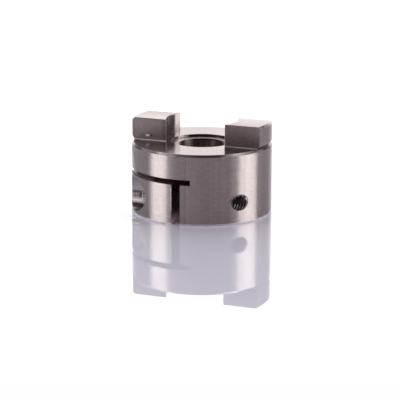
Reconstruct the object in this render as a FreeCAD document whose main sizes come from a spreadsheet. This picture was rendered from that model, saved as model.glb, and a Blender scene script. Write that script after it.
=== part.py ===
import FreeCAD, Part
import Sketcher
import math
import os

# Clamp hub of a shaft coupling, with the cap screw that closes it.
#
# Frame: +Z runs along the bore, from the flat base face towards the two drive lugs.
# The origin is on the bore axis in the base face. The lugs and the screw lie along X,
# the slit opens towards -Y and the screw's head is on the -X side.

SIZES = {
    # turned blank
    "hub_dia": 25.4,
    "hub_length": 12.7,
    "base_chamfer": 0.3,
    "rim_chamfer": 0.4,
    # shaft bore, and the land of the shallow recess round its upper mouth
    "bore_dia": 8.0,
    "bore_chamfer": 0.2,
    "bore_land": 1.7,
    "recess_depth": 0.5,
    # drive lugs; the land runs from the recess to their inner faces
    "recess_land": 0.8,
    "lug_height": 4.0,
    "lug_width": 6.8,
    "lug_undercut": 0.6,
    "lug_root_radius": 0.15,
    "edge_break": 0.1,
    # clamp cuts
    "slit_width": 1.5,
    "slit_flare": 0.12,
    "cut_height": 1.0,
    "cut_reach": 1.9,
    # clamp screw
    "thread_dia": 2.68,
    "thread_point": 0.35,
    "screw_length": 10.0,
    "head_dia": 5.5,
    "head_height": 3.0,
    "head_chamfer": 0.25,
    "socket_flats": 2.5,
    "socket_depth": 1.4,
    "socket_mouth": 0.15,
    # the screw's hole, and what places it in the wall of the hub
    "thread_clearance": 0.03,
    "shank_clearance": 0.36,
    "head_clearance": 0.5,
    "mouth_radius": 0.15,
    "base_wall": 0.2,
    "cut_wall": 0.2,
    "screw_inset": 0.85,
    "seat_depth": 8.2,
    # how far a cutting profile runs out past the blank
    "overrun": 1.0,
}


class Size:
    """A length kept both as a number and as the formula that the document binds."""

    def __init__(self, number, formula):
        self.number = number
        self.formula = formula

    def _join(self, other, sign, number):
        text = other.formula if isinstance(other, Size) else repr(other)
        return Size(number, "(%s %s %s)" % (self.formula, sign, text))

    def __add__(self, other):
        return self._join(other, "+", self.number + number_of(other))

    def __sub__(self, other):
        return self._join(other, "-", self.number - number_of(other))

    def __mul__(self, other):
        return self._join(other, "*", self.number * number_of(other))

    def __truediv__(self, other):
        return self._join(other, "/", self.number / number_of(other))

    def __neg__(self):
        return Size(-self.number, "(-1 * %s)" % self.formula)


def number_of(value):
    return value.number if isinstance(value, Size) else float(value)


def size(name):
    return Size(SIZES[name], "Dims." + name)


def recess_radius():
    return size("bore_dia") / 2 + size("bore_land")


def lug_gap_radius():
    return recess_radius() + size("recess_land")


def lug_top():
    return size("hub_length") + size("lug_height")


def counterbore_radius():
    return size("head_dia") / 2 + size("head_clearance")


def screw_offset():
    """Distance of the screw's axis from the bore's: just inside the middle of the wall."""
    return (size("bore_dia") / 2 + size("hub_dia") / 2) / 2 - size("screw_inset")


def screw_height():
    return size("base_chamfer") + size("base_wall") + counterbore_radius()


def head_seat():
    """Distance of the counterbore's floor from the slit's middle plane."""
    return size("hub_dia") / 2 - size("seat_depth")


def cut_floor():
    return screw_height() + counterbore_radius() + size("cut_wall")


def fill_sheet(doc):
    sheet = doc.addObject("Spreadsheet::Sheet", "Dims")
    for row, (name, value) in enumerate(SIZES.items(), start=1):
        sheet.set("A%d" % row, name)
        sheet.set("B%d" % row, str(value))
        sheet.setAlias("B%d" % row, name)
    return sheet


def origin_plane(body, role):
    for feature in body.Origin.OriginFeatures:
        if feature.Role == role:
            return feature
    raise ValueError("no plane " + role)


def new_sketch(body, name, role, offset=None):
    """A sketch on one of the body's own origin planes, moved along its normal by offset."""
    sketch = body.newObject("Sketcher::SketchObject", name)
    sketch.AttachmentSupport = [(origin_plane(body, role), "")]
    sketch.MapMode = "FlatFace"
    if offset is not None:
        sketch.setExpression("AttachmentOffset.Base.z", offset.formula)
    return sketch


def pin_point(sketch, line, end, point):
    """Fix one end of a line at a point of the sheet's sizes."""
    for kind, value in (("DistanceX", point[0]), ("DistanceY", point[1])):
        if value is None:
            axis = -2 if kind == "DistanceX" else -1
            sketch.addConstraint(Sketcher.Constraint("PointOnObject", line, end, axis))
            continue
        index = sketch.addConstraint(
            Sketcher.Constraint(kind, -1, 1, line, end, value.number))
        sketch.setExpression("Constraints[%d]" % index, value.formula)


def vector(point):
    return FreeCAD.Vector(*[0.0 if value is None else value.number for value in point], 0)


def closed_loop(sketch, points, arcs=None):
    """Join the points into a loop. None as a coordinate puts the point on that axis.

    arcs maps the number of a segment to its (centre, radius); the others are straight.
    """
    arcs = arcs or {}
    count = len(points)
    ends = []
    for i in range(count):
        a, b = vector(points[i]), vector(points[(i + 1) % count])
        if i not in arcs:
            ends.append((sketch.addGeometry(Part.LineSegment(a, b)), 1, 2))
            continue
        centre, radius = vector(arcs[i][0]), arcs[i][1]
        start = math.atan2(a.y - centre.y, a.x - centre.x)
        stop = math.atan2(b.y - centre.y, b.x - centre.x)
        forward = (stop - start) % (2 * math.pi) < math.pi
        if not forward:
            start, stop = stop, start
        circle = Part.Circle(centre, FreeCAD.Vector(0, 0, 1), radius.number)
        arc = sketch.addGeometry(Part.ArcOfCircle(circle, start, stop))
        ends.append((arc, 1, 2) if forward else (arc, 2, 1))
        index = sketch.addConstraint(Sketcher.Constraint("Radius", arc, radius.number))
        sketch.setExpression("Constraints[%d]" % index, radius.formula)
    for i in range(count):
        line, _, last = ends[i]
        following, first, _ = ends[(i + 1) % count]
        sketch.addConstraint(Sketcher.Constraint("Coincident", line, last, following, first))
        pin_point(sketch, following, first, points[(i + 1) % count])


def revolve(body, kind, name, sketch, axis):
    feature = body.newObject("PartDesign::" + kind, name)
    feature.Profile = (sketch, [""])
    feature.ReferenceAxis = (sketch, [axis])
    feature.Angle = 360
    return feature


def pocket_through(body, name, sketch):
    """Cut the sketch both ways, through the whole piece."""
    feature = body.newObject("PartDesign::Pocket", name)
    feature.Profile = (sketch, [""])
    feature.Type = "ThroughAll"
    feature.SideType = "Symmetric"
    return feature


def pocket_to(body, name, sketch, depth, along_normal):
    feature = body.newObject("PartDesign::Pocket", name)
    feature.Profile = (sketch, [""])
    feature.Type = "Length"
    feature.setExpression("Length", depth.formula)
    feature.Reversed = along_normal
    return feature


def turned_blank(body):
    """Hub, lug ring, bore and recess as one lathe section, with a V groove below the lugs."""
    outer = size("hub_dia") / 2
    bore = size("bore_dia") / 2
    rim = size("rim_chamfer")
    chamfer = size("bore_chamfer")
    top = size("hub_length")
    floor = top - size("recess_depth")
    section = [
        (bore + chamfer, None),
        (outer - size("base_chamfer"), None),
        (outer, size("base_chamfer")),
        (outer, top - rim),
        (outer - rim, top),
        (outer, top + size("lug_undercut")),
        (outer, lug_top() - rim),
        (outer - rim, lug_top()),
        (lug_gap_radius(), lug_top()),
        (lug_gap_radius(), top),
        (recess_radius(), top),
        (recess_radius(), floor),
        (bore + chamfer, floor),
        (bore, floor - chamfer),
        (bore, chamfer),
    ]
    sketch = new_sketch(body, "BlankSection", "XZ_Plane")
    closed_loop(sketch, section)
    return revolve(body, "Revolution", "TurnedBlank", sketch, "V_Axis")


def lug_flanks(body):
    """Mill away the ring on both sides, which leaves two lugs with a small root radius."""
    root = size("lug_root_radius")
    flank = size("lug_width") / 2
    floor = size("hub_length")
    above = lug_top() + size("overrun")
    outside = size("hub_dia") / 2 + size("overrun")
    sketch = new_sketch(body, "FlankSection", "YZ_Plane")
    for side in (1, -1):
        near = flank if side > 0 else -flank
        inner = flank + root if side > 0 else -(flank + root)
        far = outside if side > 0 else -outside
        points = [(near, above), (near, floor + root), (inner, floor), (far, floor), (far, above)]
        closed_loop(sketch, points, {1: ((inner, floor + root), root)})
    return pocket_through(body, "LugFlanks", sketch)


def clamp_slit(body):
    """Upright slit from the bore out through the wall, with its outer edges broken."""
    half = size("slit_width") / 2
    flare = size("slit_flare")
    outer = size("hub_dia") / 2
    mouth = -(outer - flare)
    outside = -(outer + flare)
    points = [
        (-half, None),
        (-half, mouth),
        (-(half + flare * 2), outside),
        (half + flare * 2, outside),
        (half, mouth),
        (half, None),
    ]
    sketch = new_sketch(body, "SlitPlan", "XY_Plane")
    closed_loop(sketch, points)
    return pocket_to(body, "ClampSlit", sketch, cut_floor() + size("cut_height"), True)


def saw_cut(body):
    """Level saw cut that frees the clamp arm from the lug end of the hub."""
    left = -(size("hub_dia") / 2 + size("overrun"))
    floor = cut_floor()
    roof = floor + size("cut_height")
    end = size("slit_width") / 2 + size("cut_reach")
    sketch = new_sketch(body, "CutSection", "XZ_Plane")
    closed_loop(sketch, [(left, floor), (end, floor), (end, roof), (left, roof)])
    return pocket_through(body, "SawCut", sketch)


def screw_hole(body):
    """Counterbore, shank hole and tapped hole on one axis across the slit."""
    axis_y = -screw_offset()
    outside = size("hub_dia") / 2 + size("overrun")
    counterbore = axis_y + counterbore_radius()
    shank = axis_y + size("thread_dia") / 2 + size("shank_clearance")
    thread = axis_y + size("thread_dia") / 2 + size("thread_clearance")
    seat = -head_seat()
    points = [
        (-outside, axis_y),
        (-outside, counterbore),
        (seat, counterbore),
        (seat, shank),
        (None, shank),
        (None, thread),
        (outside, thread),
        (outside, axis_y),
    ]
    sketch = new_sketch(body, "ScrewHoleSection", "XY_Plane", screw_height())
    closed_loop(sketch, points)
    axis = sketch.addGeometry(
        Part.LineSegment(vector((-outside, axis_y)), vector((outside, axis_y))), True)
    pin_point(sketch, axis, 1, (-outside, axis_y))
    pin_point(sketch, axis, 2, (outside, axis_y))
    return revolve(body, "Groove", "ScrewHole", sketch, "Axis0")


def edge_names(shape, wanted):
    names = []
    for number, edge in enumerate(shape.Edges, start=1):
        if wanted(edge):
            names.append("Edge%d" % number)
    return names


def dress_edges(body, kind, name, base, wanted, sheet_size):
    """Chamfer or Fillet on every edge of the base feature that wanted() picks."""
    feature = body.newObject("PartDesign::" + kind, name)
    feature.Base = (base, edge_names(base.Shape, wanted))
    feature.setExpression("Size" if kind == "Chamfer" else "Radius", "Dims." + sheet_size)
    return feature


def near(value, target):
    return abs(value - number_of(target)) < 0.02


def is_lug_top_edge(edge):
    """The inner and flank edges of both lug tops; their outer edges are turned already."""
    box = edge.BoundBox
    level = near(box.ZMin, lug_top()) and near(box.ZMax, lug_top())
    turned = size("hub_dia") / 2 - size("rim_chamfer")
    return level and not (hasattr(edge.Curve, "Radius") and near(edge.Curve.Radius, turned))


def is_lug_corner(edge):
    """The four upright corners where a flank meets the round gap between the lugs."""
    box = edge.BoundBox
    inside = math.hypot(box.Center.x, box.Center.y)
    upright = box.XLength < 0.01 and box.ZLength > SIZES["lug_height"] / 2
    return upright and near(inside, lug_gap_radius())


def is_counterbore_mouth(edge):
    """The curved edge where the counterbore runs out through the round side."""
    box = edge.BoundBox
    low = screw_height() - counterbore_radius()
    high = screw_height() + counterbore_radius()
    return (near(box.ZMin, low) and near(box.ZMax, high)
            and box.XLength > 1 and box.XMax < number_of(-head_seat()))


def make_hub(doc):
    body = doc.addObject("PartDesign::Body", "Hub")
    body.Label = "hub"
    volumes = []
    for step in (turned_blank, lug_flanks, clamp_slit, saw_cut, screw_hole):
        feature = step(body)
        doc.recompute()
        volumes.append((feature.Name, feature.Shape.Volume))
    check_cuts(volumes)
    for kind, name, wanted, sheet_size in (
            ("Chamfer", "LugTopEdges", is_lug_top_edge, "edge_break"),
            ("Fillet", "LugCorners", is_lug_corner, "edge_break"),
            ("Fillet", "CounterboreMouth", is_counterbore_mouth, "mouth_radius")):
        base = feature
        feature = dress_edges(body, kind, name, base, wanted, sheet_size)
        doc.recompute()
        check_dressed(base, feature)
    return body


def check_cuts(volumes):
    """Each step after the first takes material away."""
    for (_, before), (name, after) in zip(volumes, volumes[1:]):
        print("%-16s %9.3f mm3 after %9.3f" % (name, after, before))
        if not after < before - 1e-4:
            raise RuntimeError(name + " cut nothing")


def check_dressed(base, feature):
    """Each broken edge leaves a face of its own; its volume is too small to tell by."""
    broken = len(feature.Base[1])
    added = len(feature.Shape.Faces) - len(base.Shape.Faces)
    print("%-16s %d edges, %d more faces" % (feature.Name, broken, added))
    if broken < 1 or added < broken:
        raise RuntimeError(feature.Name + " left an edge sharp")


def make_clamp_screw(doc):
    """Socket head cap screw, head up along its own Z and seated at its own origin."""
    body = doc.addObject("PartDesign::Body", "ClampScrew")
    body.Label = "clamp_screw"
    shank = size("thread_dia") / 2
    head = size("head_dia") / 2
    height = size("head_height")
    tip = -size("screw_length")
    point = size("thread_point")
    chamfer = size("head_chamfer")
    section = [
        (None, tip),
        (shank - point, tip),
        (shank, tip + point),
        (shank, None),
        (head, None),
        (head, height - chamfer),
        (head - chamfer, height),
        (None, height),
    ]
    sketch = new_sketch(body, "ScrewSection", "XZ_Plane")
    closed_loop(sketch, section)
    blank = revolve(body, "Revolution", "ScrewBlank", sketch, "V_Axis")
    doc.recompute()

    root3 = round(math.sqrt(3), 6)
    corner = size("socket_flats") / root3
    flat = size("socket_flats") / 2
    hexagon = [
        (corner, None),
        (corner / 2, flat),
        (-(corner / 2), flat),
        (-corner, None),
        (-(corner / 2), -flat),
        (corner / 2, -flat),
    ]
    sketch = new_sketch(body, "SocketPlan", "XY_Plane", height)
    closed_loop(sketch, hexagon)
    socket = pocket_to(body, "Socket", sketch, size("socket_depth"), False)
    doc.recompute()

    mouth = corner + size("socket_mouth")
    sketch = new_sketch(body, "MouthSection", "XZ_Plane")
    closed_loop(sketch, [(None, height), (None, height - mouth / 2), (mouth, height)])
    mouth_cone = revolve(body, "Groove", "SocketMouth", sketch, "V_Axis")
    doc.recompute()
    check_cuts([(f.Name, f.Shape.Volume) for f in (blank, socket, mouth_cone)])

    # the head faces -X, so the screw's own +Z is turned to -X
    body.Placement = FreeCAD.Placement(
        FreeCAD.Vector(0, 0, 0), FreeCAD.Rotation(FreeCAD.Vector(0, 1, 0), -90))
    body.setExpression("Placement.Base.x", (-head_seat()).formula)
    body.setExpression("Placement.Base.y", (-screw_offset()).formula)
    body.setExpression("Placement.Base.z", screw_height().formula)
    return body


def check_document(doc, bodies):
    for thing in doc.Objects:
        if "Invalid" in thing.State or "Error" in thing.State:
            raise RuntimeError("%s failed: %s" % (thing.Name, thing.State))
    for body in bodies:
        shape = body.Shape
        if shape.isNull() or not shape.isValid() or len(shape.Solids) != 1:
            raise RuntimeError(body.Label + " is not one valid solid")


def main():
    doc = FreeCAD.newDocument("ClampCoupling")
    fill_sheet(doc)
    doc.recompute()
    bodies = [make_hub(doc), make_clamp_screw(doc)]
    doc.recompute()
    check_document(doc, bodies)
    os.makedirs("parts", exist_ok=True)
    for body in bodies:
        body.Shape.exportStep("parts/%s.step" % body.Label)
        box = body.Shape.BoundBox
        print("%-12s %9.3f mm3  x %.2f..%.2f  y %.2f..%.2f  z %.2f..%.2f" % (
            body.Label, body.Shape.Volume, box.XMin, box.XMax, box.YMin, box.YMax,
            box.ZMin, box.ZMax))


main()
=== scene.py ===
"""Looks for the clamp shaft coupling hub: steel finishes, screw, tapped thread, studio."""

import math
from types import SimpleNamespace

import bmesh
import bpy
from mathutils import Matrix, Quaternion, Vector


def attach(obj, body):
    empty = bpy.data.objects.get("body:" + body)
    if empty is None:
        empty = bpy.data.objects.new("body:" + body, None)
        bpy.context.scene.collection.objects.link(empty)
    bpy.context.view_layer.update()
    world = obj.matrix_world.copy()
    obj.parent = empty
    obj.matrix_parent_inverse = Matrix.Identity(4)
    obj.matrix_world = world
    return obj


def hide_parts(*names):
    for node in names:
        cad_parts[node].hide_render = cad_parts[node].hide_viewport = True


MM = 0.001

# sizes of the hub that the looks refer to, in mm, as the solid model has them
HUB_RADIUS = 12.7
HUB_TOP = 12.7
LUG_TOP = 16.7
LUG_FLANK = 3.4
LUG_GAP_RADIUS = 6.5
RECESS_RADIUS = 5.7
RECESS_FLOOR_Z = 12.2
BORE_RADIUS = 4.0
SAW_CUT_LOW = 7.2
SAW_CUT_HIGH = 8.2
COUNTERBORE_RADIUS = 3.25
TAP_RADIUS = 1.37
PITCH = 0.5
SCREW_Y = -7.5
SCREW_Z = 3.75
SEAT_X = -4.5

# places of single marks on the hub, and of the nick's painted shadow, in mm
NICK_X = -9.22
NICK_Z = 13.58
PIT_X = -8.56
BLOT_X = -10.2
BLOT_Z = 2.6
BURR_X = -0.86
SCRIBED_X = (2.14, 2.66)

# the diagonal from the front left to the back right, as shares of x and y
DIAGONAL_X = 0.93
DIAGONAL_Y = 0.368

# camera at the photograph's viewing angle, in degrees and metres, with its lens in mm
CAMERA_AZIMUTH = 21.4685
CAMERA_ELEVATION = 13.2581
CAMERA_DISTANCE = 0.3131473
CAMERA_CENTRE = (0.0, 0.0, 0.00635)
CAMERA_AIM = (0.000113, -0.001127, 0.001871)
CAMERA_ROLL = 0.3005
CAMERA_LENS = 155.115

# studio: azimuth to the right of the camera's side, elevation, width and height in degrees, radiance
SOFT_BOXES = {
    "box_left": (-74.8, 20.0, 31.0, 50.0, 3.08),
    "box_right": (81.0, 20.0, 35.0, 50.0, 3.3),
    "backdrop_glow": (180.0, 20.0, 56.0, 40.0, 1.4),
    "box_above": (180.0, 58.0, 90.0, 40.0, 1.05),
    "box_high": (-48.0, 54.0, 28.0, 30.0, 0.7),
    "fill_left": (-127.0, 20.0, 46.0, 50.0, 0.12),
    "fill_right": (127.0, 20.0, 46.0, 50.0, 0.12),
}
SOFT_BOX_DISTANCE = 0.9
SOFT_BOX_AIM = (0.0, 0.0, 0.006)
ROOM_COLOUR = (0.185, 0.158, 0.168, 1.0)
FLOOR_COLOUR = (0.88, 0.873, 1.0, 1.0)
FLOOR_SIZE = 8.0
FLOOR_Z = -0.00002

# colours, linear red, green and blue; a pair runs from its first to its second
END_STEEL = (0.335, 0.281, 0.267)
SIDE_STEEL = (0.408, 0.360, 0.345)
FLANK_STEEL = (0.385, 0.330, 0.318)
# the slit wall is lighter towards the base as a painted reflection of the floor
SLIT_WALL = ((0.30, 0.21, 0.20), (0.98, 0.86, 0.88))
# saw cut floor: painted shade inside the cut, lighter towards its open left end, painted darker deeper in at
# that end, and painted light at the end itself
SAW_CUT = ((0.06, 0.031, 0.033), (0.24, 0.165, 0.17))
SAW_CUT_LIP = (0.045, 0.041, 0.041)
SAW_CUT_END = (0.95, 0.92, 0.92)
LUG_INNER = ((0.30, 0.27, 0.267), (0.44, 0.40, 0.396))
# the middle of the lugs' inner faces is painted darker as shade
LUG_INNER_MIDDLE = ((0.16, 0.135, 0.132), (0.25, 0.212, 0.209))
# the recess wall is painted dark as shade, lighter at its left part
RECESS_WALL = ((0.10, 0.08, 0.075), (0.50, 0.43, 0.41))
# thin dark lines on the recess wall are painted shadow lines
RECESS_LINE = (0.09, 0.065, 0.063)
RECESS_FLOOR = (0.35, 0.295, 0.28)
# the left part of the recess floor, under the left lug, is painted darker as shade
RECESS_FLOOR_LEFT = (0.12, 0.095, 0.09)
BORE_WALL = ((0.20, 0.152, 0.137), (0.34, 0.272, 0.25))
# the bore's chamfered lip is painted near black as shade, a little less dark at one place on the left
BORE_LIP = ((0.02, 0.014, 0.013), (0.12, 0.095, 0.09))
# the counterbore wall's colours are painted reflection bands, lighter low down and greyer above
COUNTERBORE = ((0.44, 0.405, 0.415), (0.33, 0.305, 0.31))
# painted shade in the counterbore, also used for its ragged dark blotches
OIL_FILM = (0.05, 0.037, 0.04)
# the tapped hole's wall is painted dark as shade
TAPPED_WALL = (0.13, 0.10, 0.102)
# a dark ring round the tapped hole's mouth and a ragged patch at its upper left are painted shade
TAPPED_RIM = (0.06, 0.045, 0.045)
RIM = (0.17, 0.14, 0.135)
# bright stretches of the rim chamfer at the front left and front right are painted highlights
RIM_LEFT = (0.58, 0.52, 0.51)
RIM_RIGHT = (0.98, 0.93, 0.92)
# the right lug's outer top chamfer brightens towards its right end as a painted highlight
LUG_RIM = ((0.18, 0.15, 0.145), (0.72, 0.65, 0.64))
# a nick on the left lug, painted near white as its highlight
NICK = (0.98, 0.95, 0.95)
# the nick's painted shadow, a dark spot to its right
PIT = (0.16, 0.13, 0.125)
# a pale diagonal line running down towards the nick
SCRATCH = (0.54, 0.49, 0.48)
# the lugs' inner upright corners are painted light as highlights
LUG_CORNER = (0.62, 0.58, 0.58)
# the bottom chamfer is painted pale as a reflection of the floor
BASE_EDGE = (0.95, 0.90, 0.93)
# the lug roots' small fillet is painted lighter as a highlight
LUG_ROOT = (0.47, 0.43, 0.43)
# the burr along the slit's left edge is real; its near-white colour is a painted highlight
BURR = (0.95, 0.90, 0.88)
SCREW_STEEL = (0.52, 0.49, 0.47)
# the tapped thread is painted dark as shade, with painted highlights on a few crests and at the top of the
# mouth
THREAD = (0.13, 0.10, 0.103)
THREAD_CREST = (0.50, 0.48, 0.48)
THREAD_GLOW = (0.55, 0.46, 0.47)

# how strongly tool marks stretch the hub's highlights, and how much metal shine torn places lose
HUB_ANISOTROPY = 0.93
TORN_METAL_LOSS = 0.7

# noise of the hub's finishes: scale along x, y and z per mm, detail, roughness
HUB_NOISES = {
    "turned": ((0.12, 0.12, 9.0), 3.0, 0.6),
    "turned_fine": ((0.3, 0.3, 34.0), 1.0, 0.5),
    "milled": ((7.0, 1.0, 0.5), 3.0, 0.6),
    "drilled": ((5.0, 0.5, 0.5), 3.0, 0.65),
    "sawn": ((1.2, 1.2, 9.0), 3.0, 0.6),
    "cloud": ((0.22, 0.22, 0.22), 3.0, 0.55),
    "mottle": ((1.6, 1.6, 1.6), 4.0, 0.6),
    "brushed": ((0.8, 0.8, 2.6), 4.0, 0.7),
    "grainy": ((3.0, 3.0, 3.0), 4.0, 0.75),
    "speckle": ((9.0, 9.0, 6.0), 3.0, 0.7),
    "ragged": ((6.0, 6.0, 3.5), 3.0, 0.7),
}


def link(obj):
    bpy.context.scene.collection.objects.link(obj)
    return obj


def mesh_object(name, verts, faces, material):
    """Object from points in mm."""
    mesh = bpy.data.meshes.new(name)
    mesh.from_pydata([tuple(c * MM for c in v) for v in verts], [], faces)
    mesh.validate()
    mesh.materials.append(material)
    return link(bpy.data.objects.new(name, mesh))


def face_outward(obj):
    """Turn every face of a closed mesh outward."""
    work = bmesh.new()
    work.from_mesh(obj.data)
    bmesh.ops.recalc_face_normals(work, faces=work.faces)
    work.to_mesh(obj.data)
    work.free()


def smooth_by_angle(obj, degrees):
    """Smooth shading, but crisp where two faces meet at more than the angle."""
    obj.data.shade_smooth()
    work = bmesh.new()
    work.from_mesh(obj.data)
    limit = math.radians(degrees)
    for edge in work.edges:
        edge.smooth = len(edge.link_faces) == 2 and edge.calc_face_angle(0.0) < limit
    work.to_mesh(obj.data)
    work.free()


class Graph:
    """Short-hand for building a node tree. Masks are numbers from 0 to 1."""

    def __init__(self, tree):
        self.tree = tree
        tree.nodes.clear()

    def node(self, kind, settings=None, **inputs):
        made = self.tree.nodes.new(kind)
        for key, value in (settings or {}).items():
            setattr(made, key, value)
        for key, value in inputs.items():
            self.feed(made.inputs[key.replace("_", " ")], value)
        return made

    def feed(self, socket, value):
        if isinstance(value, bpy.types.NodeSocket):
            self.tree.links.new(value, socket)
        else:
            socket.default_value = value

    def place(self):
        """The point's place on the object, in mm."""
        coords = self.node("ShaderNodeTexCoord")
        return self.vector("SCALE", coords.outputs["Object"], scale=1.0 / MM)

    def math(self, operation, *values):
        made = self.node("ShaderNodeMath", {"operation": operation})
        for socket, value in zip(made.inputs, values):
            self.feed(socket, value)
        return made.outputs[0]

    def plus(self, a, b):
        return self.math("ADD", a, b)

    def minus(self, a, b):
        return self.math("SUBTRACT", a, b)

    def times(self, a, b):
        return self.math("MULTIPLY", a, b)

    def size(self, value):
        return self.math("ABSOLUTE", value)

    def largest(self, first, *others):
        for value in others:
            first = self.math("MAXIMUM", first, value)
        return first

    def both(self, first, *others):
        for mask in others:
            first = self.times(first, mask)
        return first

    def vary(self, base, texture, amount, *where):
        """Base, moved up and down by a texture about its middle, where the masks allow it."""
        return self.math("MULTIPLY_ADD", self.both(self.minus(texture, 0.5), *where), amount, base)

    def vector(self, operation, a, b=(0.0, 0.0, 0.0), scale=None):
        made = self.node("ShaderNodeVectorMath", {"operation": operation})
        self.feed(made.inputs[0], a)
        self.feed(made.inputs[1], b)
        if scale is not None:
            self.feed(made.inputs["Scale"], scale)
        return made.outputs["Value" if operation in ("LENGTH", "DOT_PRODUCT") else "Vector"]

    def combine(self, x, y, z):
        return self.node("ShaderNodeCombineXYZ", X=x, Y=y, Z=z).outputs[0]

    def split(self, value):
        made = self.node("ShaderNodeSeparateXYZ", Vector=value)
        return made.outputs[0], made.outputs[1], made.outputs[2]

    def step(self, value, none, full):
        """0 at none and 1 at full, smooth between; either may be the larger one."""
        made = self.node("ShaderNodeMapRange", {"interpolation_type": "SMOOTHSTEP"})
        for key, number in zip(("Value", "From Min", "From Max"), (value, none, full)):
            self.feed(made.inputs[key], number)
        return made.outputs["Result"]

    def band(self, value, start, full, past, end):
        """1 from full to past, falling to 0 at start and at end."""
        return self.both(self.step(value, start, full), self.step(value, end, past))

    def near(self, value, middle, none, full):
        """1 within full of the middle, falling to 0 at none from it."""
        return self.step(self.size(self.minus(value, middle)), none, full)

    def spot(self, x, z, middle, stretch, none, full):
        """Round patch about a middle, made narrower by the stretch along x and z."""
        sides = [self.times(self.minus(value, centre), factor)
                 for value, centre, factor in zip((x, z), middle, stretch)]
        return self.step(self.vector("LENGTH", self.combine(*sides, 0.0)), none, full)

    def mix(self, kind, inputs, output, values):
        made = self.node("ShaderNodeMix", {"data_type": kind})
        for index, value in zip(inputs, values):
            self.feed(made.inputs[index], value)
        return made.outputs[output]

    def blend(self, mask, a, b):
        """Number a where the mask is 0 and b where it is 1."""
        return self.mix("FLOAT", (0, 2, 3), 0, (mask, a, b))

    def blend_vector(self, mask, a, b):
        return self.mix("VECTOR", (0, 4, 5), 1, (mask, a, b))

    def blend_colour(self, mask, a, b):
        a, b = ((*colour, 1.0) if isinstance(colour, tuple) else colour for colour in (a, b))
        return self.mix("RGBA", (0, 6, 7), 2, (mask, a, b))

    def paint(self, colour, *layers):
        """Colour with each layer, a mask and its own colour, laid over those before it."""
        for mask, laid in layers:
            colour = self.blend_colour(mask, colour, laid)
        return colour

    def noise(self, where, detail=2.0, roughness=0.5):
        return self.node("ShaderNodeTexNoise", Vector=where, Scale=1.0, Detail=detail,
                         Roughness=roughness).outputs[0]

    def stretched(self, where, scale, detail=2.0, roughness=0.5):
        """Noise with its own scale along each axis, per mm."""
        return self.noise(self.vector("MULTIPLY", where, scale), detail, roughness)


def new_material(name):
    material = bpy.data.materials.new(name)
    material.use_nodes = True
    return material, Graph(material.node_tree)


def finish_metal(g, colour, roughness, height, strength, distance, anisotropic=0.0, tangent=None,
                 normal=None, metallic=1.0):
    """Metal shader; height is the tool marks' relief, as deep as distance in mm."""
    shader = g.node("ShaderNodeBsdfPrincipled", Base_Color=colour, Roughness=roughness, Metallic=metallic)
    shader.inputs["Anisotropic"].default_value = anisotropic
    bump = g.node("ShaderNodeBump", Strength=strength, Distance=distance * MM, Height=height)
    if tangent is not None:
        g.feed(shader.inputs["Tangent"], tangent)
    if normal is not None:
        g.feed(bump.inputs["Normal"], normal)
    g.feed(shader.inputs["Normal"], bump.outputs[0])
    g.node("ShaderNodeOutputMaterial", Surface=shader.outputs[0])


def hub_surface(g):
    """Where a point of the hub is and which way its face looks, in mm and as shares of a unit."""
    s = SimpleNamespace(place=g.place(), flat_normal=g.node("ShaderNodeNewGeometry").outputs["True Normal"])
    s.x, s.y, s.z = g.split(s.place)
    s.nx, s.ny, s.nz = g.split(s.flat_normal)
    flat_place = g.combine(s.x, s.y, 0.0)
    s.radius = g.vector("LENGTH", flat_place)
    s.outward = g.vector("NORMALIZE", flat_place)
    s.around = g.vector("CROSS_PRODUCT", (0.0, 0.0, 1.0), s.outward)
    s.toward = g.vector("DOT_PRODUCT", s.outward, s.flat_normal)
    s.facing = g.size(s.toward)
    s.level = g.size(s.nz)
    s.screw_line = g.combine(0.0, g.minus(s.y, SCREW_Y), g.minus(s.z, SCREW_Z))
    s.screw_far = g.vector("LENGTH", s.screw_line)
    # skew runs along the diagonal, away across it to the back, depth from the round side's front
    s.skew = g.plus(g.times(s.x, DIAGONAL_X), g.times(s.y, DIAGONAL_Y))
    s.away = g.plus(g.times(s.x, -DIAGONAL_Y), g.times(s.y, DIAGONAL_X))
    s.depth = g.plus(s.away, g.math("SQRT", g.largest(
        g.minus(HUB_RADIUS ** 2, g.times(s.skew, s.skew)), 0.0)))
    return s


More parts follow.
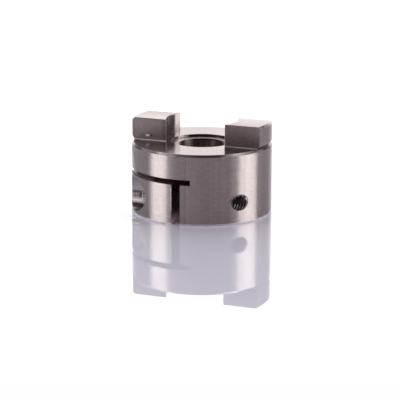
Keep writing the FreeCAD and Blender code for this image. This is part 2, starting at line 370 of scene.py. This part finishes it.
def hub_masks(g, s):
    """How much a point belongs to each surface and each single mark of the hub."""
    step, both, band = g.step, g.both, g.band
    m = SimpleNamespace()
    m.side = both(step(s.radius, HUB_RADIUS - 0.6, HUB_RADIUS - 0.5), step(s.facing, 0.88, 0.94))
    m.level = step(s.level, 0.9, 0.97)
    upright = step(s.level, 0.9, 0.8)
    sloped = band(s.level, 0.5, 0.6, 0.85, 0.92)
    above = step(s.z, HUB_TOP + 0.1, HUB_TOP + 0.25)
    right = step(s.x, 0.0, 1.0)
    outermost = step(s.radius, HUB_RADIUS - 0.5, HUB_RADIUS - 0.4)

    # lugs
    flank_far = g.size(s.y)
    m.lug_top = both(m.level, step(s.z, LUG_TOP - 0.2, LUG_TOP - 0.05))
    m.flank = both(above, step(g.size(s.ny), 0.9, 0.97))
    m.front_flank = both(m.flank, step(s.y, 0.1 - LUG_FLANK, 0.02 - LUG_FLANK))
    m.inner_face = both(above, upright, step(s.radius, LUG_GAP_RADIUS + 0.3, LUG_GAP_RADIUS + 0.2))
    m.corner = both(above, step(flank_far, LUG_FLANK - 0.13, LUG_FLANK - 0.09),
                    step(g.size(s.x), 5.72, 5.68), step(s.radius, LUG_GAP_RADIUS - 0.1, LUG_GAP_RADIUS),
                    step(s.z, LUG_TOP - 0.05, LUG_TOP - 0.15))
    m.lug_root = both(band(s.z, HUB_TOP + 0.01, HUB_TOP + 0.03, HUB_TOP + 0.15, HUB_TOP + 0.19),
                      band(flank_far, LUG_FLANK - 0.12, LUG_FLANK - 0.06, LUG_FLANK + 0.16, LUG_FLANK + 0.2),
                      step(s.radius, HUB_RADIUS - 0.1, HUB_RADIUS - 0.2))
    m.lug_rim = both(outermost, sloped, step(s.z, LUG_TOP - 0.5, LUG_TOP - 0.45), right,
                     step(s.skew, 12.2, 11.8))

    # bore and the recess round its mouth
    m.bore = both(step(s.radius, BORE_RADIUS + 0.3, BORE_RADIUS + 0.2), upright)
    m.bore_lip = both(step(s.radius, BORE_RADIUS + 0.3, BORE_RADIUS + 0.22),
                      band(s.z, 11.9, 12.0, 12.5, 12.6))
    m.recess_wall = both(band(s.radius, RECESS_RADIUS - 0.3, RECESS_RADIUS - 0.2, RECESS_RADIUS + 0.05,
                              RECESS_RADIUS + 0.15), upright,
                         step(s.z, RECESS_FLOOR_Z - 0.1, RECESS_FLOOR_Z - 0.05))
    # thin painted shadow lines on the recess wall, at two heights towards the left
    m.recess_line = both(m.recess_wall, g.largest(
        both(step(s.z, 12.36, 12.28), step(s.x, -5.4, -5.2)),
        both(step(s.z, 12.60, 12.66), step(s.x, -4.9, -4.7))))
    m.recess_floor = both(m.level, step(s.radius, RECESS_RADIUS + 0.02, RECESS_RADIUS - 0.02),
                          band(s.z, RECESS_FLOOR_Z - 0.1, RECESS_FLOOR_Z - 0.05, RECESS_FLOOR_Z + 0.1,
                               RECESS_FLOOR_Z + 0.2))

    # counterbore, shank hole and tapped hole
    m.hole = both(step(s.screw_far, COUNTERBORE_RADIUS + 0.15, COUNTERBORE_RADIUS + 0.05),
                  step(g.size(s.nx), 0.3, 0.15), step(s.radius, HUB_RADIUS - 0.05, HUB_RADIUS - 0.1))
    m.tapped = both(m.hole, step(s.screw_far, TAP_RADIUS + 0.23, TAP_RADIUS + 0.13), step(s.x, 0.0, 0.5))
    tapped_side = both(m.side, right)
    rim_far = g.vector("LENGTH", g.vector("ADD", s.screw_line, (0.0, -0.03, -0.1)))
    m.tapped_rim = both(tapped_side, step(rim_far, TAP_RADIUS + 0.11, TAP_RADIUS + 0.03))
    # ragged patch of painted shade at the upper left of the tapped hole's mouth
    m.tapped_scuff = both(tapped_side, step(s.screw_far, 1.9, 1.6), step(s.y, -7.5, -7.9),
                          band(s.z, 3.9, 4.3, 5.0, 5.4), 0.55)

    # slit and level saw cut
    m.cut_wall = both(step(s.z, SAW_CUT_HIGH + 0.05, SAW_CUT_HIGH - 0.05),
                      band(s.radius, BORE_RADIUS, BORE_RADIUS + 0.1, HUB_RADIUS - 0.2, HUB_RADIUS - 0.02),
                      step(s.facing, 0.95, 0.85), step(s.z, 0.02, 0.05), g.minus(1.0, m.hole))
    m.cut_level = both(m.level, band(s.z, SAW_CUT_LOW - 0.05, SAW_CUT_LOW - 0.02, SAW_CUT_HIGH + 0.02,
                                     SAW_CUT_HIGH + 0.05))
    m.cut_lip = both(m.cut_level, step(s.skew, -11.3, -11.8), step(s.depth, 0.7, 1.3))
    m.leftmost = step(s.x, -11.2, -11.9)

    # rims
    m.base_edge = both(step(s.z, 0.32, 0.28), step(s.nz, -0.3, -0.5),
                       step(s.radius, HUB_RADIUS - 0.7, HUB_RADIUS - 0.6))
    m.rim = both(outermost, sloped, band(s.z, HUB_TOP - 0.45, HUB_TOP - 0.4, HUB_TOP + 0.6, HUB_TOP + 0.65))
    rim_front = both(m.rim, step(s.away, -1.0, -3.0))
    # stretches of the front rim chamfer that get painted highlights
    m.rim_left = both(rim_front, band(s.skew, -8.4, -6.8, -5.6, -4.2))
    m.rim_right = both(rim_front, step(s.skew, 2.6, 5.4), step(s.skew, 8.0, 5.5))

    # single marks: a nick painted near white as its highlight, its painted shadow and a pale diagonal line
    # on the left lug, a burr and two scribed lines by the slit
    m.nick = both(m.front_flank, g.spot(s.x, s.z, (NICK_X, NICK_Z), (2.35, 4.6), 1.15, 0.75))
    m.pit = both(m.front_flank, g.spot(s.x, s.z, (PIT_X, NICK_Z), (3.4, 4.2), 1.1, 0.6))
    over_nick = g.minus(s.z, NICK_Z)
    off_scratch = g.plus(g.times(g.minus(s.x, NICK_X), 0.739), g.times(over_nick, 0.674))
    m.scratch = both(m.front_flank, g.near(off_scratch, 0.0, 0.07, 0.03),
                     band(over_nick, 0.1, 0.3, 1.9, 2.5))
    m.burr = both(g.near(s.x, BURR_X, 0.12, 0.05), step(s.y, -12.3, -12.5), band(s.z, 2.0, 3.0, 6.4, 7.0))
    bold, faint = (g.near(s.x, line, 0.12, 0.04) for line in SCRIBED_X)
    m.scribed = both(m.side, step(s.y, -9.0, -10.0), g.largest(bold, g.times(faint, 0.5)))
    return m


def hub_textures(g, s, m):
    """Noise for the hub's finishes, and the marks of the tools, each along its own direction."""
    t = SimpleNamespace(**{name: g.stretched(s.place, *values) for name, values in HUB_NOISES.items()})
    t.speckle = g.step(t.speckle, 0.35, 0.65)
    t.drawn = g.noise(g.vector("MULTIPLY", s.outward, (5.0, 5.0, 0.0)), 3.0, 0.6)
    t.streak = g.noise(g.vector("MULTIPLY", s.outward, (17.0, 17.0, 0.0)), 1.0, 0.5)
    rings = g.noise(g.combine(g.times(s.radius, 9.0), 0.0, s.z), 3.0, 0.6)
    t.marks = g.blend(m.side, g.blend(m.level, t.milled, rings), g.blend(0.35, t.turned, t.turned_fine))
    t.marks = g.blend(m.cut_wall, t.marks, t.sawn)
    t.marks = g.blend(m.hole, t.marks, t.drilled)
    t.burr = g.both(m.burr, g.step(t.ragged, 0.38, 0.50))
    return t


def hub_normal(g, s, m):
    """Smooth normals of the turned and bored surfaces, worked out from their axes."""
    tilt = g.times(s.nz, g.step(s.level, 0.35, 0.45))
    reach = g.math("SQRT", g.minus(1.0, g.times(tilt, tilt)))
    turned = g.vector("SCALE", s.outward, scale=g.times(g.math("SIGN", s.toward), reach))
    turned = g.vector("ADD", turned, g.combine(0.0, 0.0, tilt))
    bored = g.vector("SCALE", g.vector("NORMALIZE", s.screw_line), scale=-1.0)
    sideways = g.size(g.vector("DOT_PRODUCT", s.around, s.flat_normal))
    normal = g.blend_vector(g.step(sideways, 0.3, 0.25), s.flat_normal, turned)
    return g.vector("NORMALIZE", g.blend_vector(m.hole, normal, bored))


def hub_tone(g, s, m, t):
    """How light the steel is from place to place, 1 on average."""
    step = g.step
    front_left = g.both(m.side, step(s.y, -5.5, -6.5), step(s.x, -4.2, -5.4))
    lively = g.math("MULTIPLY_ADD", front_left, -0.6, m.side)
    flank_grain = g.blend(step(s.y, -1.0, 1.0), 1.1, 0.45)
    tone = 1.0
    for texture, amount, *where in (
            (t.cloud, 0.10), (t.mottle, 0.05), (t.marks, 0.10),
            (t.drawn, 0.32, lively), (t.streak, 0.28, lively), (t.brushed, 0.6, lively),
            (t.grainy, flank_grain, m.flank), (t.grainy, 0.16, m.level), (t.drilled, 0.7, m.hole)):
        tone = g.vary(tone, texture, amount, *where)
    # the lug fronts are paler towards the top, and the right one is darker at its foot
    right = step(s.x, -1.0, 1.0)
    front = g.blend(step(s.z, 13.0, 16.4), g.blend(right, 0.82, 0.61), g.blend(right, 1.04, 1.0))
    tone = g.times(tone, g.blend(m.front_flank, 1.0, front))
    beside_corner = g.both(m.front_flank, g.band(s.x, -6.7, -6.1, -1.0, 0.0))
    tone = g.times(tone, g.blend(beside_corner, 1.0, 0.72))
    return g.math("MULTIPLY_ADD", m.scribed, 0.2, tone)


def counterbore_colour(g, s, t):
    """Colour of the counterbore's wall with its painted reflection bands, and where it is dark: painted
    shade low down and along a wavy line, and ragged dark blotches.
    """
    step = g.step
    # painted reflection bands: a bright band low on the wall and a dark band above it
    worn = g.blend(step(s.z, 2.4, 2.9), g.blend(step(s.z, 1.7, 2.0), 1.8, 0.5), 1.0)
    wall = g.vector("SCALE", g.blend_colour(step(s.z, 3.6, 5.0), *COUNTERBORE), scale=worn)
    # painted shade low in the counterbore, weaker at the very bottom
    film = g.both(step(s.z, 1.45, 1.2), g.blend(step(s.z, 0.8, 0.6), 1.0, 0.5))
    # ragged dark blotches about 2.75 mm up and round one spot; a painted shadow line along a wavy height of
    # about 3.1 mm
    stain = g.both(g.near(s.z, 2.75, 0.8, 0.1), step(t.ragged, 0.42, 0.56))
    wavy_z = g.vary(s.z, t.ragged, 0.9)
    blot = g.spot(s.x, s.z, (BLOT_X, BLOT_Z), (2.6, 1.9), 1.1, 0.6)
    dark = g.largest(film, g.times(stain, 0.6), g.times(g.near(wavy_z, 3.1, 0.42, 0.10), 0.8),
                     g.both(blot, step(t.ragged, 0.32, 0.5)))
    return wall, dark


def hub_colour(g, s, m, t):
    """Warm grey steel, with painted shade in the cuts, recess and holes, and painted highlights and
    reflections along edges, in the slit and in the counterbore.
    """
    step, both, blend_colour = g.step, g.both, g.blend_colour
    counterbore, counterbore_dark = counterbore_colour(g, s, t)
    return g.paint(
        END_STEEL,
        (m.side, SIDE_STEEL),
        (m.flank, FLANK_STEEL),
        # painted reflection of the floor: the slit wall lighter towards the base
        (m.cut_wall, blend_colour(step(s.z, 3.3, 0.6), *SLIT_WALL)),
        # painted shade on the saw cut's floor, lighter towards the open left end; darker deeper in at that
        # end; painted light at the leftmost part
        (m.cut_level, blend_colour(step(s.skew, -8.0, -9.5), *SAW_CUT)),
        (m.cut_lip, SAW_CUT_LIP),
        (both(m.cut_level, m.leftmost), SAW_CUT_END),
        (m.inner_face, blend_colour(t.speckle, *LUG_INNER)),
        # painted shade: the middle of the lug's inner face darker
        (both(m.inner_face, g.near(s.y, 0.0, 2.65, 1.2)), blend_colour(t.speckle, *LUG_INNER_MIDDLE)),
        # painted shade on the recess wall, lighter at its left part
        (m.recess_wall, blend_colour(step(s.x, -3.95, -4.35), *RECESS_WALL)),
        # painted shadow lines on the recess wall
        (m.recess_line, RECESS_LINE),
        (m.recess_floor, RECESS_FLOOR),
        # painted shade on the recess floor's left part, under the left lug
        (both(m.recess_floor, step(s.skew, -4.7, -5.1)), RECESS_FLOOR_LEFT),
        (m.bore, blend_colour(step(t.drawn, 0.42, 0.62), *BORE_WALL)),
        # painted shade on the bore's chamfered lip
        (m.bore_lip, blend_colour(g.near(s.skew, -2.4, 0.9, 0.5), *BORE_LIP)),
        # the counterbore's painted reflection bands, then its painted shade and dark blotches
        (m.hole, counterbore),
        (both(m.hole, counterbore_dark), OIL_FILM),
        # painted shade inside the tapped hole
        (m.tapped, TAPPED_WALL),
        (m.rim, RIM),
        # painted highlights on the front rim chamfer
        (m.rim_left, RIM_LEFT),
        (m.rim_right, RIM_RIGHT),
        # painted highlight at the right end of the lug's outer top chamfer
        (m.lug_rim, blend_colour(step(s.skew, 10.75, 11.1), *LUG_RIM)),
        # the nick, painted near white as its highlight, then its painted shadow and the pale line
        (m.nick, NICK),
        (m.pit, PIT),
        (both(m.scratch, step(t.ragged, 0.35, 0.55)), SCRATCH),
        # painted highlight along the lugs' inner upright corners
        (m.corner, LUG_CORNER),
        # painted reflection of the floor on the bottom chamfer
        (m.base_edge, BASE_EDGE),
        # painted highlight along the lug roots
        (m.lug_root, LUG_ROOT),
        # painted shade round the tapped hole's mouth
        (g.largest(m.tapped_rim, both(m.tapped_scuff, step(t.ragged, 0.30, 0.48))), TAPPED_RIM),
        # the burr, painted near white as a highlight
        (t.burr, BURR))


def hub_roughness(g, s, m, t):
    """Smooth on the turned ends, duller on flanks and cuts."""
    rough = 0.20
    for mask, value in (
            (m.side, 0.35), (m.level, 0.16), (m.recess_floor, 0.32), (m.lug_top, 0.24), (m.flank, 0.36),
            (m.cut_wall, g.blend(g.step(s.z, 3.5, 1.0), 0.5, 0.9)), (m.bore, 0.38), (m.hole, 0.27),
            (m.base_edge, 0.65), (m.lug_root, 0.38), (m.cut_level, g.blend(m.leftmost, 0.9, 0.25)),
            (m.cut_lip, 0.45), (m.burr, 0.55), (m.nick, 0.7)):
        rough = g.blend(mask, rough, value)
    return g.vary(rough, t.marks, 0.08)


def hub_material():
    """Turned side, faced ends, milled lugs, sawn clamp cuts and drilled screw holes, by place."""
    material, g = new_material("hub_steel_finish")
    s = hub_surface(g)
    m = hub_masks(g, s)
    t = hub_textures(g, s, m)
    normal = hub_normal(g, s, m)

    # the sheen lies across the tool marks: along the axis on the side, outward on the ends
    across = g.vector("CROSS_PRODUCT", normal, s.around)
    across = g.blend_vector(m.flank, across, (0.0, 0.0, 1.0))
    across = g.blend_vector(m.hole, across, (1.0, 0.0, 0.0))

    # torn and sawn metal scatters light like a matt surface
    torn = g.largest(t.burr, g.times(m.nick, 0.6), g.times(m.corner, 0.5),
                     g.both(m.cut_wall, g.step(s.z, 2.3, 0.0)))
    colour = g.vector("SCALE", hub_colour(g, s, m, t), scale=hub_tone(g, s, m, t))
    finish_metal(g, colour, hub_roughness(g, s, m, t), t.marks, strength=0.12, distance=0.01,
                 anisotropic=HUB_ANISOTROPY, tangent=g.vector("NORMALIZE", across), normal=normal,
                 metallic=g.math("MULTIPLY_ADD", torn, -TORN_METAL_LOSS, 1.0))
    return material


def screw_material():
    """Rolled and polished screw steel, a little brighter than the hub."""
    material, g = new_material("screw_steel_finish")
    place = g.place()
    grain = g.stretched(place, (14.0, 3.0, 3.0), 3.0, 0.6)
    cloud = g.stretched(place, (0.8, 0.8, 0.8))
    tone = g.vary(g.vary(1.0, cloud, 0.16), grain, 0.10)
    colour = g.vector("SCALE", SCREW_STEEL, scale=tone)
    finish_metal(g, colour, g.vary(0.26, grain, 0.12), grain, strength=0.15, distance=0.01)
    return material


def thread_material():
    """Cut thread, painted dark as shade inside the hole, with painted highlights on a few crests near the
    mouth and at the top of the mouth.
    """
    material, g = new_material("tapped_thread_finish")
    place = g.place()
    torn = g.stretched(place, (9.0, 5.0, 5.0), 4.0, 0.7)
    x, y, z = g.split(place)
    far = g.vector("LENGTH", g.combine(0.0, g.minus(y, SCREW_Y), g.minus(z, SCREW_Z)))
    crest = g.both(g.step(far, 1.30, 1.22), g.step(z, 3.35, 3.0), g.band(x, 8.5, 8.7, 9.65, 9.85),
                   g.step(torn, 0.36, 0.50))
    glow = g.both(g.band(z, 3.9, 4.2, 4.5, 4.8), g.step(x, 9.9, 10.3), g.step(torn, 0.3, 0.6))
    # painted shade, then painted highlights on a few low crests and at the upper side of the mouth
    colour = g.paint(THREAD, (crest, THREAD_CREST), (glow, THREAD_GLOW))
    colour = g.vector("SCALE", colour, scale=g.vary(1.0, torn, 0.5))
    finish_metal(g, colour, g.vary(0.34, torn, 0.3), torn, strength=0.3, distance=0.02)
    return material


def floor_material():
    """Glossy white sheet."""
    material, g = new_material("floor_finish")
    shader = g.node("ShaderNodeBsdfPrincipled", Base_Color=FLOOR_COLOUR, Roughness=0.02, IOR=1.5,
                    Coat_Weight=1.0, Coat_Roughness=0.01)
    g.node("ShaderNodeOutputMaterial", Surface=shader.outputs[0])
    return material


def tapped_thread(material):
    """Helical ridge in the open end of the tapped hole, cut off level with the round side."""
    crest = 1.19
    base = TAP_RADIUS + 0.03
    start = 5.9
    turns = 11.5
    per_turn = 48
    half_base = 0.22
    half_crest = 0.05
    side_clearance = 0.02
    profile = ((-half_base, base), (-half_crest, crest), (half_crest, crest), (half_base, base))
    count = int(turns * per_turn) + 1
    verts = []
    for i in range(count):
        angle = 2 * math.pi * i / per_turn
        along = start + PITCH * i / per_turn
        for offset, radius in profile:
            verts.append((along + offset, SCREW_Y + radius * math.cos(angle),
                          SCREW_Z + radius * math.sin(angle)))
    faces = []
    for i in range(count - 1):
        for k in range(4):
            a = 4 * i + k
            b = 4 * i + (k + 1) % 4
            faces.append((a, b, b + 4, a + 4))
    faces.append((3, 2, 1, 0))
    last = 4 * (count - 1)
    faces.append((last, last + 1, last + 2, last + 3))
    ridge = mesh_object("tapped_thread", verts, faces, material)
    face_outward(ridge)

    bpy.ops.mesh.primitive_cylinder_add(vertices=720, radius=(HUB_RADIUS - side_clearance) * MM,
                                        depth=0.03, location=(0.0, 0.0, 0.005))
    limit = bpy.context.object
    cut = ridge.modifiers.new("cut", "BOOLEAN")
    cut.operation = "INTERSECT"
    cut.solver = "EXACT"
    cut.object = limit
    graph = bpy.context.evaluated_depsgraph_get()
    trimmed = bpy.data.meshes.new_from_object(ridge.evaluated_get(graph))
    ridge.modifiers.remove(cut)
    ridge.data = trimmed
    bpy.data.objects.remove(limit)
    smooth_by_angle(ridge, 35)
    return ridge


def clamp_screw(material):
    """Socket head cap screw with a rolled thread, knurled head and hexagon socket."""
    columns = 120
    rows_per_pitch = 8
    length = 10.0
    shank_root = 1.14
    shank_crest = 1.33
    tip_radius = 0.86
    tip_crest = 0.95
    tip_run = 0.35
    neck = 0.12
    head_radius = 2.75
    head_height = 3.0
    rim_radius = head_radius - 0.02
    chamfer = 0.25
    knurls = 40
    knurl_depth = 0.07
    knurl_heights = (0.42, 0.95, 1.5, 2.05, head_height - chamfer - 0.12)
    socket_depth = 1.4
    half_flats = 1.25
    mouth = half_flats * 2 / math.sqrt(3) + 0.15

    def threaded(height):
        fade = min(1.0, (height + length) / tip_run)
        top = tip_crest + (shank_crest - tip_crest) * fade

        def radius(angle):
            phase = (height / PITCH - angle / (2 * math.pi)) % 1.0
            ramp = abs(phase - 0.5) * 2
            share = min(1.0, max(0.0, (ramp - 0.25) / 0.55))
            return min(top, shank_root + (shank_crest - shank_root) * share)
        return radius

    def knurled(angle):
        return head_radius - knurl_depth * abs(math.sin(knurls * angle / 2)) ** 0.8

    def hexagon(angle):
        third = math.pi / 3
        return half_flats / math.cos((angle % third) - third / 2)

    # rings of points from the tip to the socket's floor: height above the seat, radius;
    # either may depend on the angle
    rows = int(length / PITCH * rows_per_pitch)
    thread_heights = [-length + length * i / rows for i in range(1, rows - 2)]
    rings = [(-length, tip_radius)]
    rings += [(height, threaded(height)) for height in thread_heights]
    rings += [(-neck, shank_crest), (0.0, shank_crest), (0.0, head_radius - 0.12), (0.12, rim_radius),
              (0.30, rim_radius)]
    rings += [(height, knurled) for height in knurl_heights]
    rings += [(head_height - chamfer, rim_radius), (head_height - 0.03, head_radius - chamfer - 0.01),
              (head_height, head_radius - chamfer - 0.06), (head_height, mouth),
              (lambda angle: head_height - (mouth - hexagon(angle)) / 2, hexagon),
              (head_height - socket_depth, hexagon),
              (head_height - socket_depth - 0.12, lambda angle: 0.5 * hexagon(angle))]

    verts = []
    for ring in rings:
        for k in range(columns):
            angle = 2 * math.pi * k / columns
            height, radius = (value(angle) if callable(value) else value for value in ring)
            verts.append((SEAT_X - height, SCREW_Y + radius * math.cos(angle),
                          SCREW_Z + radius * math.sin(angle)))
    faces = []
    for i in range(len(rings) - 1):
        for k in range(columns):
            n = (k + 1) % columns
            faces.append((i * columns + k, i * columns + n, (i + 1) * columns + n, (i + 1) * columns + k))
    tip = len(verts)
    verts.append((SEAT_X + length, SCREW_Y, SCREW_Z))
    floor = len(verts)
    verts.append((SEAT_X - (head_height - socket_depth - 0.3), SCREW_Y, SCREW_Z))
    top = (len(rings) - 1) * columns
    for k in range(columns):
        n = (k + 1) % columns
        faces.append((tip, n, k))
        faces.append((floor, top + k, top + n))
    screw = mesh_object("clamp_screw_detailed", verts, faces, material)
    face_outward(screw)
    smooth_by_angle(screw, 40)
    return screw


def direction(azimuth, elevation):
    """Unit vector at an azimuth to the right of the camera's side, in degrees."""
    a = math.radians(CAMERA_AZIMUTH + azimuth)
    e = math.radians(elevation)
    return Vector((math.sin(a) * math.cos(e), -math.cos(a) * math.cos(e), math.sin(e)))


def soft_box(name, azimuth, elevation, width, height, radiance):
    """Rectangular light that spans the given angles as seen from the object."""
    light = bpy.data.lights.new(name, "AREA")
    light.shape = "RECTANGLE"
    light.size = 2 * SOFT_BOX_DISTANCE * math.tan(math.radians(width / 2))
    light.size_y = 2 * SOFT_BOX_DISTANCE * math.tan(math.radians(height / 2))
    light.energy = radiance * light.size * light.size_y * math.pi
    obj = link(bpy.data.objects.new(name, light))
    away = direction(azimuth, elevation)
    obj.location = Vector(SOFT_BOX_AIM) + away * SOFT_BOX_DISTANCE
    obj.rotation_mode = "QUATERNION"
    obj.rotation_quaternion = away.to_track_quat("Z", "Y")
    obj.visible_camera = False


def studio():
    """Soft boxes, a dim room and the floor."""
    for name, values in SOFT_BOXES.items():
        soft_box(name, *values)
    world = bpy.data.worlds.new("studio")
    bpy.context.scene.world = world
    world.use_nodes = True
    g = Graph(world.node_tree)
    room = g.node("ShaderNodeBackground", Color=ROOM_COLOUR, Strength=1.0)
    g.node("ShaderNodeOutputWorld", Surface=room.outputs[0])

    bpy.ops.mesh.primitive_plane_add(size=FLOOR_SIZE, location=(0.0, 0.0, FLOOR_Z))
    floor = bpy.context.object
    floor.name = "floor"
    floor.data.materials.append(floor_material())


def camera():
    """Camera at the photograph's place, with its small roll."""
    data = bpy.data.cameras.new("photo_camera")
    data.lens = CAMERA_LENS
    data.sensor_width = 36.0
    data.clip_start = 0.01
    data.clip_end = 30.0
    obj = link(bpy.data.objects.new("photo_camera", data))
    obj.location = Vector(CAMERA_CENTRE) + direction(0.0, CAMERA_ELEVATION) * CAMERA_DISTANCE
    sight = Vector(CAMERA_AIM) - obj.location
    aim = sight.to_track_quat("-Z", "Y")
    obj.rotation_mode = "QUATERNION"
    obj.rotation_quaternion = aim @ Quaternion((0.0, 0.0, 1.0), math.radians(CAMERA_ROLL))
    bpy.context.scene.camera = obj


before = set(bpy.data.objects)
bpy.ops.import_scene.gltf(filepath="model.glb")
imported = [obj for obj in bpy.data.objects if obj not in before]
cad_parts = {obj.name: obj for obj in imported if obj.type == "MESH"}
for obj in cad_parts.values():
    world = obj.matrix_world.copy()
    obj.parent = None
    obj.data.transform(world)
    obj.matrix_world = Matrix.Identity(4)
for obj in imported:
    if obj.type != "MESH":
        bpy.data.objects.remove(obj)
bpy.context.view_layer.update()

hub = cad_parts["hub"]
hub.data.materials.clear()
hub.data.materials.append(hub_material())

screw = clamp_screw(screw_material())
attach(screw, "root")
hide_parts("clamp_screw")
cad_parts["clamp_screw"].data.materials.clear()
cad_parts["clamp_screw"].data.materials.append(screw.data.materials[0])

ridge = tapped_thread(thread_material())
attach(ridge, "root")

studio()
camera()
bpy.context.scene.view_settings.view_transform = "Standard"

bpy.context.view_layer.update()
